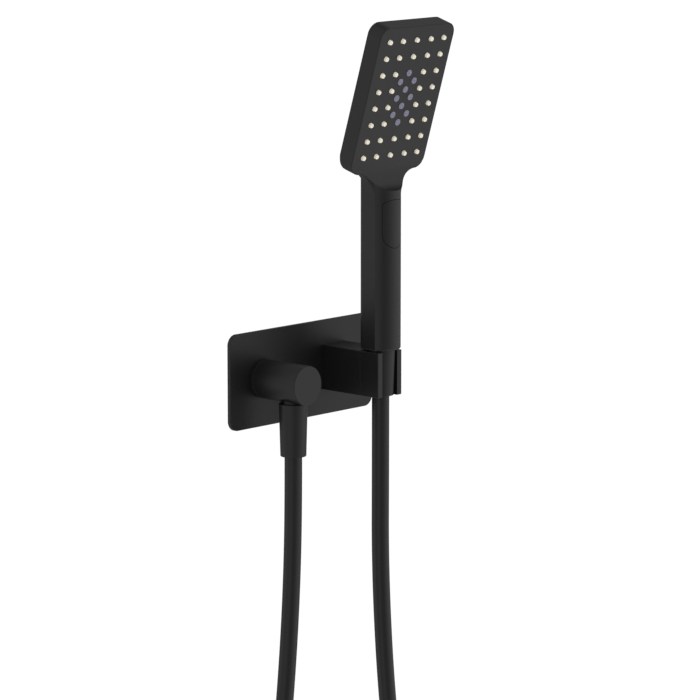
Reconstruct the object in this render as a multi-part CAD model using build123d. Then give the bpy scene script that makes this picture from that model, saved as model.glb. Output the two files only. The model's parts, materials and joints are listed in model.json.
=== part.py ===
from build123d import *
from math import cos, pi, radians, sin, sqrt, tan
import os

# Hand shower set: a handset in a wall holder, its hose, and the wall outlet that feeds it.
# Millimetres. The origin is the centre of the wall plate's back face, which lies on the wall.
# +X is to the right of someone facing the wall, -Y comes out into the room, +Z is up.

# ------------------------------------------------------------------ clearances
TURN_GAP = 0.05  # radial, a piece that turns or slides in another
SCREW_GAP = 0.05  # radial, a screwed or pressed joint
SEAM = 0.15  # round a fixed moulding
PASS_GAP = 0.35  # between moving bodies that pass each other
SEAT_GAP = 0.2  # all round between the conical nut and its seat
STACK_GAP = 0.05  # between layers stacked on each other

# ------------------------------------------------------------------ standard sizes
THREAD_R = 10.4775  # outside of a G1/2 male thread
HOSE_R = 7.0
HOSE_BORE_R = 4.0

# ------------------------------------------------------------------ wall plate and outlet
PLATE_WIDTH = 164.0
PLATE_HEIGHT = 77.0
PLATE_THICK = 3.0
PLATE_CORNER = 8.5
PLATE_EDGE = 0.5
GASKET_WIDTH = 5.0
GASKET_DEPTH = 1.2

GASKET_SPACE = 2.0  # between the gasket and the thread
THREAD_CHAMFER = 0.8
KEY_SOCKET_R = 6.9  # hexagon for fitting the nipple
KEY_SOCKET_DEPTH = 7.0

OUTLET_X = -45.0
OUTLET_R = 15.7
OUTLET_REACH = 52.0
OUTLET_EDGE = 0.7
COLLAR_LENGTH = 4.0
COLLAR_EDGE = 0.3
COLLAR_SEAL_SPACE = 2.2
COLLAR_SEAL_WIDTH = 2.0
COLLAR_SEAL_DEPTH = 1.4
SPIGOT_REACH = 36.0  # the hose connection's axis, out from the wall
WALL_THREAD_LENGTH = 14.0
BODY_THREAD_R = THREAD_R - 1.0775  # the nipple's thread inside the outlet
BODY_THREAD_LENGTH = 12.0
THREAD_RUNOUT = 1.0
WATERWAY_R = 5.5
SPIGOT_ROOT_R = 8.4  # the spigot's upper end, screwed into the outlet
SPIGOT_ROOT_TOP = -4.0
SPIGOT_THREAD_LENGTH = 12.0
SPIGOT_BORE_R = 6.6
SPIGOT_GROOVE_DROP = 3.0
ORING_R = 0.9

VALVE_CAGE_LENGTH = 9.0
VALVE_CAGE_WALL = 1.1
POPPET_R = 3.6
POPPET_STEM_R = 1.0
POPPET_THICK = 1.0
POPPET_STEM_PROUD = 0.5  # below the cage when shut
VALVE_SEAT_THICK = 1.2
VALVE_SEAT_LAP = 0.8
VALVE_BRIDGE_HALF = 1.9
VALVE_SPRING_R = 2.4
VALVE_SPRING_WIRE = 0.25
VALVE_SPRING_TURNS = 3

# ------------------------------------------------------------------ hose ends
NUT_GAP = 0.3  # between the lower nut and the outlet above it
LOWER_NUT_LENGTH = 42.0
LOWER_NUT_WALL = 0.92  # outside the thread, at the nut's top
LOWER_NUT_TAPER = 1.1
UPPER_NUT_LENGTH = 36.8
UPPER_NUT_WALL = 1.12
UPPER_NUT_TAPER = 1.2
UPPER_NUT_GAP = 0.5  # between the upper nut and the handle above it
NUT_EDGE = 0.5
WASHER_THICK = 2.0
WASHER_R = THREAD_R - 1.2775
WASHER_BORE_R = 5.0
FLANGE_THICK = 2.0
FLANGE_R = THREAD_R - 0.9775
FERRULE_LENGTH = 12.0  # flange to hose end
SLEEVE_THICK = 0.6
SLEEVE_GRIP = 11.0  # length of the sleeve over the hose

# ------------------------------------------------------------------ holder
HOLDER_X = 36.35
PRONG_WALL = 2.05  # the prongs' thinnest place, beside the seat's wide end
HOLDER_TOP = 18.6
HOLDER_BOTTOM = -17.7
HOLDER_REACH = 64.5
HOLDER_EDGE = 0.4
JOINT_CHAMFER = 0.15
ARM_REACH = 45.0  # where the cradle's shoulder meets the arm
SEAT_REACH = 54.5  # the handset's axis, out from the wall
SLOT_WIDTH = 17.5
TENON_WIDTH = 19.0
TENON_HEIGHT = 28.0
TENON_LENGTH = 12.0
ARM_SCREW_R = 2.5
ARM_SCREW_HEAD_R = 4.6
ARM_SCREW_HEAD_DEPTH = 2.2
ARM_SCREW_LENGTH = 41.0
ARM_SCREW_SPACING = 18.0
ARM_SOCKET_R = 1.9
ARM_SOCKET_DEPTH = 1.8

# ------------------------------------------------------------------ handset
HANDLE_BOTTOM = 19.8
HANDLE_R = 16.0
HANDLE_FLAT_CUT = 1.6  # how much each side flat takes off the round
HANDLE_EDGE = 2.0
WALL = 2.4
PLUG_THICK = 6.0  # solid end of the handle round the connector

TILT = 17.07  # the head leans out, degrees
HEAD_SPACE = 2.1  # between the lid's screw heads and the head's back wall
HEAD_HALF_WIDTH = 42.6
HEAD_CORNER = 9.5
HEAD_BACK_EDGE = 1.0
HEAD_FRONT_EDGE = 0.5
ROW_PITCH = 13.81
ROWS = 8
COLUMNS = (-31.08, -16.14, 0.0, 16.14, 31.08)
OPEN_ROWS = (2, 3, 4, 5)  # rows with no middle nozzle, counted from the bottom
TOP_MARGIN = 12.0  # top row to the head's top edge
BOTTOM_ROW_Z = 176.1
BOTTOM_ROW_AHEAD = 9.5  # face plane, ahead of the handle's axis at the bottom row
SHOULDER_X = 32.5
SHOULDER_DROP = 14.3  # the shoulder at SHOULDER_X, below the bottom row
SHOULDER_SLOPE = 15.0
SHOULDER_CORNER = 9.0
NECK_FILLET = 18.0
NECK_DROP = 45.0
NECK_BACK = 4.6  # where the neck's sides end, behind the handle's axis
SCOOP_R = 15.0
SCOOP_DROP = 9.7  # where the face starts to curve out, below the bottom row

# ------------------------------------------------------------------ spray face
COVER_THICK = 2.6
COVER_INSET = 0.9
NOZZLE_BASE_R = 2.1
NOZZLE_TIP_R = 1.6
NOZZLE_PROUD = 2.0
NOZZLE_BORE_R = 0.45
NOZZLE_CLEARANCE = 0.1
MIST_R = 2.7
MIST_BORE_R = 0.6
MIST_STEP = 7.88
MIST_SPOTS = ((0, 2), (-1, 2.5), (1, 2.5), (0, 3), (-1, 3.5), (1, 3.5), (0, 4), (-1, 4.5), (1, 4.5), (0, 5))
MAT_THICK = 1.6
CHAMBER_INSET = 3.4
CHAMBER_DROP = 8.0  # lower end of the chamber, below the bottom row
CHAMBER_CORNER = 6.0
DISTRIBUTOR_THICK = 3.0
CHANNEL_DEPTH = 1.5
MIST_CHAMBER_MARGIN = 5.0
FEED_BORE_R = 0.75
CHAMBER_RIB = 1.6
SEAL_WIDTH = 1.6
SEAL_DEPTH = 1.0
SEAL_EDGE = 1.2
LID_THICK = 1.6
LID_SCREW_R = 1.1
LID_SCREW_HEAD_R = 2.0
LID_SCREW_HEAD = 1.2
LID_SCREW_X = 23.6
LID_SCREW_ROWS = (0.5, 3.5, 6.5)
LID_SCREW_SLOT_HALF = 0.25
LID_SCREW_SLOT_DEPTH = 0.6

# ------------------------------------------------------------------ inside the handle
CONNECTOR_THREAD_LENGTH = 12.8
CONNECTOR_NECK_R = 8.5
CONNECTOR_NECK_LENGTH = 14.0
CONNECTOR_BORE_R = 5.5
LIMITER_INSET = 1.0
LIMITER_THICK = 4.0
LIMITER_BORE_R = 1.5
LIMITER_HOLE_R = 0.8
LIMITER_HOLE_RING = 3.4
LIMITER_HOLES = 6
TUBE_R = 8.0
TUBE_WALL = 1.5
VALVE_BELOW = 25.45  # the valve body's ends, from the button's middle
VALVE_ABOVE = 22.55
VALVE_FRONT = 3.0  # the valve body's flat front, ahead of the axis
SHUTTLE_BEHIND = 5.0
SHUTTLE_R = 4.4
SHUTTLE_BELOW = 14.45  # the shuttle's ends, from the button's middle
SHUTTLE_ABOVE = 11.55
SHUTTLE_BORE_FLOOR = 2.0
SHUTTLE_SEAT_LAP = 1.5
SHUTTLE_RING_INSET = 4.0
SHUTTLE_SPRING_TURNS = 4
SHUTTLE_SPRING_R = 3.2
SHUTTLE_SPRING_WIRE = 0.35
RISER_HALF_WIDTH = 9.0
RISER_FRONT = 2.5
RISER_BACK = 3.5
RISER_BORE_R = 1.9
RISER_BORE_X = 4.8
RISER_EDGE = 1.5
RISER_PORT_DEPTH = 12.0

BUTTON_Z = 122.45
BUTTON_ABOVE = 18.6  # the button's ends, from its middle
BUTTON_BELOW = 20.0
BUTTON_WIDTH = 21.6
BUTTON_CROWN_R = 22.0  # the button's upper end
BUTTON_CORNER = 4.0
BUTTON_BACK = 9.0  # back of the button, ahead of the axis
BUTTON_TRAVEL = 2.5
STEM_R = 2.0
STEM_SEAL_R = 3.5
STEM_SEAL_LENGTH = 1.4
WEDGE_START = 3.0  # where the stem's 45 degree wedge starts, behind the axis
WEDGE_GAP = 0.1
BUTTON_SPRING_R = 4.6
BUTTON_SPRING_WIRE = 0.35
BUTTON_SPRING_TURNS = 3

# The hose's route between its ferrules, by hand: it drops from the outlet, hangs in a loop and climbs.
HOSE_ROUTE = (
    (-45.0, -36.0, -100.0),
    (-47.4, -36.0, -165.0),
    (-52.8, -36.2, -230.0),
    (-61.8, -36.8, -300.0),
    (-70.8, -37.8, -370.0),
    (-78.2, -39.0, -436.0),
    (-82.4, -40.2, -488.0),
    (-80.0, -41.4, -536.0),
    (-50.5, -43.2, -576.0),
    (-3.0, -45.4, -592.0),
    (45.0, -47.6, -577.0),
    (75.0, -49.6, -537.0),
    (78.0, -51.0, -489.0),
    (72.6, -52.2, -440.0),
    (61.6, -53.3, -378.0),
    (50.5, -54.1, -310.0),
    (41.2, -54.5, -236.0),
    (36.1, -54.5, -154.0),
    (36.35, -54.5, -80.4),
)
ARC_SHARE = 0.45

# ------------------------------------------------------------------ worked-out places
TILT_COS = cos(radians(TILT))
TILT_SIN = sin(radians(TILT))
HANDLE_FLAT = HANDLE_R - HANDLE_FLAT_CUT
FACE_PLANE = Plane(
    origin=(0, -BOTTOM_ROW_AHEAD, BOTTOM_ROW_Z), x_dir=(1, 0, 0), z_dir=(0, -TILT_COS, -TILT_SIN)
)
HANDSET_PLACE = Pos(HOLDER_X, -SEAT_REACH, 0)
SPIGOT_PLACE = Pos(OUTLET_X, -SPIGOT_REACH, 0)
HEAD_TOP = (ROWS - 1) * ROW_PITCH + TOP_MARGIN
LOWER_NUT_TOP = -OUTLET_R - NUT_GAP
LOWER_NUT_BOTTOM = LOWER_NUT_TOP - LOWER_NUT_LENGTH
LOWER_NUT_TOP_R = THREAD_R + LOWER_NUT_WALL
UPPER_NUT_TOP = HANDLE_BOTTOM - UPPER_NUT_GAP
UPPER_NUT_BOTTOM = UPPER_NUT_TOP - UPPER_NUT_LENGTH
UPPER_NUT_TOP_R = THREAD_R + UPPER_NUT_WALL
HOLDER_WIDTH = 2 * (UPPER_NUT_TOP_R + SEAT_GAP + PRONG_WALL)
SPIGOT_BOTTOM = LOWER_NUT_TOP - SPIGOT_THREAD_LENGTH
CONNECTOR_BOTTOM = HANDLE_BOTTOM - CONNECTOR_THREAD_LENGTH
SLEEVE_R = HOSE_R + SCREW_GAP + SLEEVE_THICK
MAT_BACK = COVER_THICK + STACK_GAP + MAT_THICK
DISTRIBUTOR_FRONT = MAT_BACK + STACK_GAP
DISTRIBUTOR_BACK = DISTRIBUTOR_FRONT + DISTRIBUTOR_THICK
LID_FRONT = DISTRIBUTOR_BACK + STACK_GAP
LID_BACK = LID_FRONT + LID_THICK
HEAD_THICK = LID_BACK + LID_SCREW_HEAD + HEAD_SPACE + WALL
MIST_CHAMBER = (2 * (MIST_STEP + MIST_CHAMBER_MARGIN), 3 * ROW_PITCH + 2 * MIST_CHAMBER_MARGIN)
VALVE_BOTTOM = BUTTON_Z - VALVE_BELOW
VALVE_TOP = BUTTON_Z + VALVE_ABOVE
SHUTTLE_BOTTOM = BUTTON_Z - SHUTTLE_BELOW
SHUTTLE_TOP = BUTTON_Z + SHUTTLE_ABOVE
MIDDLE_ROW = (ROWS - 1) / 2
FAR = 400.0  # past everything
TOUCH = 0.01


# ------------------------------------------------------------------ helpers
def tube_z(radius, low, high, bore=0.0):
    """An upright cylinder about Z, with an optional bore."""
    height = high - low
    solid = Pos(0, 0, low) * Cylinder(radius, height, align=(Align.CENTER, Align.CENTER, Align.MIN))
    if bore:
        solid -= Pos(0, 0, low) * Cylinder(bore, height, align=(Align.CENTER, Align.CENTER, Align.MIN))
    return solid


def tube_y(radius, near, far, bore=0.0):
    """A level cylinder about Y, reaching out from the wall between two distances."""
    return Rot(90, 0, 0) * tube_z(radius, near, far, bore)


def cone_z(low_radius, high_radius, low, high):
    """An upright cone about Z."""
    return Pos(0, 0, low) * Cone(low_radius, high_radius, high - low, align=(Align.CENTER, Align.CENTER, Align.MIN))


def block(x_low, x_high, y_low, y_high, z_low, z_high):
    """A box between two corners."""
    centre = Pos((x_low + x_high) / 2, (y_low + y_high) / 2, (z_low + z_high) / 2)
    return centre * Box(x_high - x_low, y_high - y_low, z_high - z_low)


def on_face(solid):
    """Moves a solid from flat coordinates (across, up, out) onto the head's sloping face."""
    return FACE_PLANE.location * solid


def coil(radius, wire, low, high, turns):
    """A helical spring about Z between two heights."""
    path = Pos(0, 0, low + wire) * Helix((high - low - 2 * wire) / turns, high - low - 2 * wire, radius)
    section = Plane(origin=path @ 0, z_dir=path % 0) * Circle(wire)
    return sweep(section, path=path, is_frenet=True)


def ring(radius, wire, height=0.0):
    """An O-ring about Z."""
    return Pos(0, 0, height) * Torus(radius, wire)


def group(solids):
    """Separate solids kept together as one node."""
    return Compound(children=[s for piece in solids for s in piece.solids()])


# ------------------------------------------------------------------ wall side
def screw_heights():
    middle = (HOLDER_TOP + HOLDER_BOTTOM) / 2
    return (middle - ARM_SCREW_SPACING / 2, middle + ARM_SCREW_SPACING / 2)


def make_wall_plate():
    outline = Plane.XZ * RectangleRounded(PLATE_WIDTH, PLATE_HEIGHT, PLATE_CORNER)
    plate = extrude(outline, PLATE_THICK)
    front = plate.faces().sort_by(Axis.Y)[0]
    plate = fillet(front.edges(), PLATE_EDGE)
    plate -= Pos(OUTLET_X, 0, 0) * tube_y(THREAD_R + SEAM, 0, PLATE_THICK)
    plate -= Pos(OUTLET_X, 0, 0) * gasket_ring(SEAM)
    for height in screw_heights():
        plate -= Pos(HOLDER_X, 0, height) * arm_screw(SCREW_GAP)
    return plate


def gasket_ring(clearance):
    inner = THREAD_R + GASKET_SPACE
    return tube_y(inner + GASKET_WIDTH + clearance, 0, GASKET_DEPTH, inner - clearance)


def make_wall_gasket():
    return Pos(OUTLET_X, 0, 0) * gasket_ring(0.0)


def make_inlet_nipple():
    start = PLATE_THICK + COLLAR_LENGTH
    thread = tube_y(THREAD_R, -WALL_THREAD_LENGTH, 0)
    thread = chamfer(thread.edges().sort_by(Axis.Y)[-1], THREAD_CHAMFER)
    nipple = thread + tube_y(BODY_THREAD_R, 0, start + BODY_THREAD_LENGTH)
    nipple -= tube_y(WATERWAY_R, -WALL_THREAD_LENGTH, start + BODY_THREAD_LENGTH)
    key = extrude(Plane.XZ * RegularPolygon(KEY_SOCKET_R, 6), KEY_SOCKET_DEPTH)
    nipple -= Pos(0, WALL_THREAD_LENGTH, 0) * key
    return Pos(OUTLET_X, 0, 0) * nipple


def collar_seal(clearance):
    inner = BODY_THREAD_R + COLLAR_SEAL_SPACE - clearance
    outer = inner + COLLAR_SEAL_WIDTH + 2 * clearance
    return tube_y(outer, PLATE_THICK, PLATE_THICK + COLLAR_SEAL_DEPTH + clearance, inner)


def make_collar_seal():
    return Pos(OUTLET_X, 0, 0) * collar_seal(0.0)


def make_outlet_collar():
    collar = tube_y(OUTLET_R, PLATE_THICK, PLATE_THICK + COLLAR_LENGTH)
    collar = fillet(collar.edges(), COLLAR_EDGE)
    collar -= tube_y(BODY_THREAD_R + SEAM, PLATE_THICK, PLATE_THICK + COLLAR_LENGTH)
    collar -= collar_seal(SEAM)
    return Pos(OUTLET_X, 0, 0) * collar


def make_outlet_body():
    start = PLATE_THICK + COLLAR_LENGTH
    body = tube_y(OUTLET_R, start, OUTLET_REACH)
    front_edge = body.edges().sort_by(Axis.Y)[0]
    body = fillet(front_edge, OUTLET_EDGE)
    back_edge = body.edges().sort_by(Axis.Y)[-1]
    body = fillet(back_edge, COLLAR_EDGE)
    body -= tube_y(BODY_THREAD_R + SCREW_GAP, start, start + BODY_THREAD_LENGTH + THREAD_RUNOUT)
    body -= tube_y(WATERWAY_R, start, SPIGOT_REACH)
    down = tube_z(SPIGOT_ROOT_R + SCREW_GAP, -2 * OUTLET_R, SPIGOT_ROOT_TOP)
    down += tube_z(SPIGOT_BORE_R, -OUTLET_R, 0)
    return Pos(OUTLET_X, 0, 0) * (body - Pos(0, -SPIGOT_REACH, 0) * down)


def make_outlet_spigot():
    spigot = tube_z(SPIGOT_ROOT_R, LOWER_NUT_TOP, SPIGOT_ROOT_TOP)
    spigot += tube_z(THREAD_R, SPIGOT_BOTTOM, LOWER_NUT_TOP)
    spigot -= tube_z(SPIGOT_BORE_R, SPIGOT_BOTTOM, SPIGOT_ROOT_TOP)
    spigot -= ring(SPIGOT_ROOT_R, ORING_R, SPIGOT_ROOT_TOP - SPIGOT_GROOVE_DROP)
    return SPIGOT_PLACE * spigot


def make_spigot_oring():
    solid = ring(SPIGOT_ROOT_R, ORING_R - SCREW_GAP, SPIGOT_ROOT_TOP - SPIGOT_GROOVE_DROP)
    return SPIGOT_PLACE * (solid & tube_z(SPIGOT_ROOT_R + SCREW_GAP / 2, SPIGOT_BOTTOM, SPIGOT_ROOT_TOP))


def cage_bottom():
    return SPIGOT_BOTTOM + STACK_GAP


def make_check_valve_cage():
    low = cage_bottom()
    high = low + VALVE_CAGE_LENGTH
    radius = SPIGOT_BORE_R - SCREW_GAP
    cage = tube_z(radius, low, high, radius - VALVE_CAGE_WALL)
    seat = tube_z(radius, high - VALVE_SEAT_THICK, high, POPPET_R - VALVE_SEAT_LAP)
    bridge_top = low + VALVE_SEAT_THICK
    bridge = block(-radius, radius, -VALVE_BRIDGE_HALF, VALVE_BRIDGE_HALF, low, bridge_top)
    bridge &= tube_z(radius, low, bridge_top)
    bridge -= tube_z(POPPET_STEM_R + TURN_GAP, low, bridge_top)
    return SPIGOT_PLACE * (cage + seat + bridge)


def make_check_valve_poppet():
    top = cage_bottom() + VALVE_CAGE_LENGTH - VALVE_SEAT_THICK - STACK_GAP
    poppet = tube_z(POPPET_R, top - POPPET_THICK, top)
    poppet += tube_z(POPPET_STEM_R, cage_bottom() - POPPET_STEM_PROUD, top - POPPET_THICK)
    return SPIGOT_PLACE * poppet


def make_check_valve_spring():
    low = cage_bottom() + VALVE_SEAT_THICK + STACK_GAP
    high = cage_bottom() + VALVE_CAGE_LENGTH - VALVE_SEAT_THICK - POPPET_THICK - 2 * STACK_GAP
    return SPIGOT_PLACE * coil(VALVE_SPRING_R, VALVE_SPRING_WIRE, low, high, VALVE_SPRING_TURNS)


# ------------------------------------------------------------------ hose ends
def washer(top):
    return tube_z(WASHER_R, top - WASHER_THICK, top, WASHER_BORE_R)


def ferrule(top):
    flange = tube_z(FLANGE_R, top - FLANGE_THICK, top)
    barrel = tube_z(HOSE_R - SCREW_GAP, top - FERRULE_LENGTH, top)
    return flange + barrel - tube_z(HOSE_BORE_R, top - FERRULE_LENGTH, top)


def sleeve(top):
    high = top - FLANGE_THICK - STACK_GAP
    low = top - FERRULE_LENGTH - SLEEVE_GRIP + FLANGE_THICK
    return tube_z(SLEEVE_R, low, high, SLEEVE_R - SLEEVE_THICK)


def conical_nut(bottom, top, top_radius, taper, thread_end):
    """A hose nut: a cone with a threaded mouth above and a shoulder that the ferrule hangs on."""
    nut = cone_z(top_radius - taper, top_radius, bottom, top)
    nut = fillet(nut.edges().sort_by(Axis.Z)[0], NUT_EDGE)
    shoulder = thread_end - WASHER_THICK - FLANGE_THICK - 3 * STACK_GAP - PASS_GAP
    nut -= tube_z(THREAD_R + TURN_GAP, thread_end - PASS_GAP, top)
    nut -= tube_z(FLANGE_R + TURN_GAP, shoulder, top)
    nut -= tube_z(SLEEVE_R + PASS_GAP, bottom, top)
    return nut


LOWER_WASHER_TOP = SPIGOT_BOTTOM - STACK_GAP
LOWER_FERRULE_TOP = LOWER_WASHER_TOP - WASHER_THICK - STACK_GAP
UPPER_WASHER_TOP = CONNECTOR_BOTTOM - STACK_GAP
UPPER_FERRULE_TOP = UPPER_WASHER_TOP - WASHER_THICK - STACK_GAP


def make_lower_nut():
    nut = conical_nut(LOWER_NUT_BOTTOM, LOWER_NUT_TOP, LOWER_NUT_TOP_R, LOWER_NUT_TAPER, SPIGOT_BOTTOM)
    return SPIGOT_PLACE * nut


def make_upper_nut():
    nut = conical_nut(UPPER_NUT_BOTTOM, UPPER_NUT_TOP, UPPER_NUT_TOP_R, UPPER_NUT_TAPER, CONNECTOR_BOTTOM)
    return HANDSET_PLACE * nut


def hose_path():
    """The hose's centre line: straight runs joined by tangent arcs, with the arcs' radii."""
    start = Vector(OUTLET_X, -SPIGOT_REACH, LOWER_FERRULE_TOP - FERRULE_LENGTH)
    end = Vector(HOLDER_X, -SEAT_REACH, UPPER_FERRULE_TOP - FERRULE_LENGTH)
    points = [start, *(Vector(*point) for point in HOSE_ROUTE), end]
    runs = [after - before for before, after in zip(points, points[1:])]
    radii = []
    for before, after in zip(runs, runs[1:]):
        shorter = min(before.length, after.length)
        turn = before.get_angle(after)
        radii.append(ARC_SHARE * shorter / tan(radians(turn / 2)))
    return FilletPolyline(*points, radius=radii), radii


def make_shower_hose():
    path, radii = hose_path()
    hose = sweep(Plane(origin=path @ 0, z_dir=path % 0) * Circle(HOSE_R), path=path)
    expected = pi * HOSE_R**2 * path.length
    print("hose arc radii", [round(radius) for radius in radii])
    print("hose length", round(path.length, 1), "volume over section x length", round(hose.volume / expected, 5))
    return hose


# ------------------------------------------------------------------ holder
def holder_section(reach_near, reach_far, margin=0.0):
    half = HOLDER_WIDTH / 2 - margin
    return block(
        HOLDER_X - half, HOLDER_X + half, -reach_far, -reach_near, HOLDER_BOTTOM + margin, HOLDER_TOP - margin
    )


def tenon(clearance):
    middle = (HOLDER_TOP + HOLDER_BOTTOM) / 2
    half_width = TENON_WIDTH / 2 + clearance
    half_height = TENON_HEIGHT / 2 + clearance
    back = ARM_REACH - TENON_LENGTH - clearance
    return block(
        HOLDER_X - half_width, HOLDER_X + half_width, -ARM_REACH, -back, middle - half_height, middle + half_height
    )


def arm_screw(clearance):
    """A countersunk screw that runs out from the wall plate's back."""
    head = Rot(90, 0, 0) * cone_z(ARM_SCREW_HEAD_R + clearance, ARM_SCREW_R + clearance, 0, ARM_SCREW_HEAD_DEPTH)
    return head + tube_y(ARM_SCREW_R + clearance, 0, ARM_SCREW_LENGTH + clearance)


def seat_bore():
    """The conical seat that the handset's nut rests in."""
    slope = UPPER_NUT_TAPER / UPPER_NUT_LENGTH
    low = HOLDER_BOTTOM - 1.0
    high = HOLDER_TOP + 1.0
    low_radius = UPPER_NUT_TOP_R - slope * (UPPER_NUT_TOP - low) + SEAT_GAP
    high_radius = UPPER_NUT_TOP_R - slope * (UPPER_NUT_TOP - high) + SEAT_GAP
    return HANDSET_PLACE * cone_z(low_radius, high_radius, low, high)


def make_holder_arm():
    arm = holder_section(PLATE_THICK, ARM_REACH)
    arm = fillet(arm.edges().filter_by(Axis.Y), HOLDER_EDGE)
    arm = chamfer(arm.faces().sort_by(Axis.Y)[0].edges(), JOINT_CHAMFER)
    arm -= tenon(SEAM)
    arm -= seat_bore()
    for height in screw_heights():
        arm -= Pos(HOLDER_X, 0, height) * arm_screw(SCREW_GAP)
    return arm


def make_holder_cradle():
    cradle = holder_section(ARM_REACH, HOLDER_REACH)
    cradle = fillet(cradle.edges().filter_by(Axis.Y), HOLDER_EDGE)
    cradle = chamfer(cradle.faces().sort_by(Axis.Y)[-1].edges(), JOINT_CHAMFER)
    cradle = fillet(cradle.faces().sort_by(Axis.Y)[0].edges(), HOLDER_EDGE)
    cradle += tenon(0.0)
    cradle -= seat_bore()
    half = SLOT_WIDTH / 2
    cradle -= HANDSET_PLACE * block(-half, half, -SEAT_REACH, 0, 2 * HOLDER_BOTTOM, 2 * HOLDER_TOP)
    for height in screw_heights():
        cradle -= Pos(HOLDER_X, 0, height) * arm_screw(SCREW_GAP)
    return cradle


def make_arm_screws():
    screws = []
    for height in screw_heights():
        screw = arm_screw(0.0)
        socket = extrude(Plane.XZ * RegularPolygon(ARM_SOCKET_R, 6), ARM_SOCKET_DEPTH)
        screws.append(Pos(HOLDER_X, 0, height) * (screw - socket))
    return group(screws)


# ------------------------------------------------------------------ handset shape
def column(inset, low, high):
    """The round handle with a flat on each side, shrunk by inset."""
    half = HANDLE_FLAT - inset
    return tube_z(HANDLE_R - inset, low, high) & block(-half, half, -HANDLE_R, HANDLE_R, low, high)


def head_outline(inset):
    """The head seen square to its face: across and up from the middle of the bottom row."""
    slope = radians(SHOULDER_SLOPE)
    half = HEAD_HALF_WIDTH - inset
    neck = HANDLE_FLAT - inset
    top = HEAD_TOP - inset

    def is_shoulder(vertex):
        return abs(vertex.X) > half - TOUCH and vertex.Y < 0

    def is_root(vertex):
        return abs(abs(vertex.X) - neck) < TOUCH and vertex.Y > -NECK_DROP + TOUCH

    corner = -SHOULDER_DROP - (SHOULDER_X - half) * tan(slope) + inset / cos(slope)
    root = -SHOULDER_DROP - (SHOULDER_X - neck) * tan(slope) + inset / cos(slope)
    right = [(half, top), (half, corner), (neck, root), (neck, -NECK_DROP)]
    left = [(-x, y) for x, y in reversed(right)]
    outline = make_face(Polyline(*right, *left, close=True))
    outline = fillet(outline.vertices().group_by(Axis.Y)[-1], HEAD_CORNER - inset)
    outline = fillet(outline.vertices().filter_by(is_shoulder), SHOULDER_CORNER - inset)
    return fillet(outline.vertices().filter_by(is_root), NECK_FILLET + inset)


def scoop_centre():
    """The scoop's centre ahead of the handle's axis, and its height."""
    ahead = BOTTOM_ROW_AHEAD - SCOOP_DROP * TILT_SIN + SCOOP_R * TILT_COS
    height = BOTTOM_ROW_Z - SCOOP_DROP * TILT_COS - SCOOP_R * TILT_SIN
    return ahead, height


def front_air(depth):
    """Everything in front of the face, down to a depth below its surface."""
    flat = on_face(block(-FAR, FAR, -SCOOP_DROP, FAR, -depth, FAR))
    ahead, height = scoop_centre()
    scoop = Pos(0, -ahead, height) * Rot(0, 90, 0) * Cylinder(SCOOP_R + depth, 2 * FAR)
    return flat + scoop


def back_air(depth):
    """Everything behind the head's back, up to a depth inside its surface."""
    return on_face(block(-FAR, FAR, -FAR, FAR, -FAR, -HEAD_THICK + depth))


def neck_flare(inset):
    """A round neck that widens in an arc from the handle's radius to past everything."""
    arc_radius = NECK_FILLET + inset
    slope = radians(SHOULDER_SLOPE)
    root = SHOULDER_DROP + (SHOULDER_X - HANDLE_FLAT) * tan(slope)
    start = BOTTOM_ROW_Z - (root + NECK_FILLET * tan(radians(45) - slope / 2)) * TILT_COS
    neck = tube_z(HANDLE_R - inset + arc_radius, start, start + arc_radius)
    neck -= Pos(0, 0, start) * Torus(HANDLE_R - inset + arc_radius, arc_radius)
    return neck + tube_z(FAR, start + arc_radius, 2 * FAR)


def neck_back_air(inset, depth):
    """What the neck's sides leave free behind the handle's flats, up to the head's back."""
    back = NECK_BACK - inset
    meet = ((HEAD_THICK - depth) / TILT_COS - BOTTOM_ROW_AHEAD - back) / tan(radians(TILT))
    return block(-FAR, FAR, back, FAR, 0, BOTTOM_ROW_Z + meet)


def wings(inset):
    """The head's lower sides, carried forward as far as the scoop reaches."""
    slab = Pos(0, 0, -HEAD_THICK) * extrude(head_outline(inset), HEAD_THICK + SCOOP_R)
    slab &= block(-FAR, FAR, -NECK_DROP, -SCOOP_DROP, -FAR, FAR)
    return on_face(slab) & neck_flare(inset)


def handset_form(inset, depth, low):
    """The handset's outer shape, shrunk by inset at the sides and by depth at the back."""
    handle = column(inset, low, BOTTOM_ROW_Z) - back_air(depth)
    head = Pos(0, 0, -HEAD_THICK) * extrude(head_outline(inset), HEAD_THICK)
    if inset == 0.0:
        head = fillet(head.faces().sort_by(Axis.Z)[0].edges(), HEAD_BACK_EDGE)
        head = fillet(head.faces().sort_by(Axis.Z)[-1].edges(), HEAD_FRONT_EDGE)
        handle = fillet(handle.faces().sort_by(Axis.Z)[0].edges(), HANDLE_EDGE)
    head = on_face(head & block(-FAR, FAR, -SCOOP_DROP, FAR, -FAR, FAR))
    return handle + (head + wings(inset) - back_air(depth) - neck_back_air(inset, depth))


def nozzle_spots():
    spots = []
    for row in range(ROWS):
        for across in COLUMNS:
            if row not in OPEN_ROWS or across != 0:
                spots.append((across, row * ROW_PITCH))
    return spots


def mist_spots():
    return [(step * MIST_STEP, row * ROW_PITCH) for step, row in MIST_SPOTS]


def lid_screw_spots():
    return [(side * LID_SCREW_X, row * ROW_PITCH) for row in LID_SCREW_ROWS for side in (-1, 1)]


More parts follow.
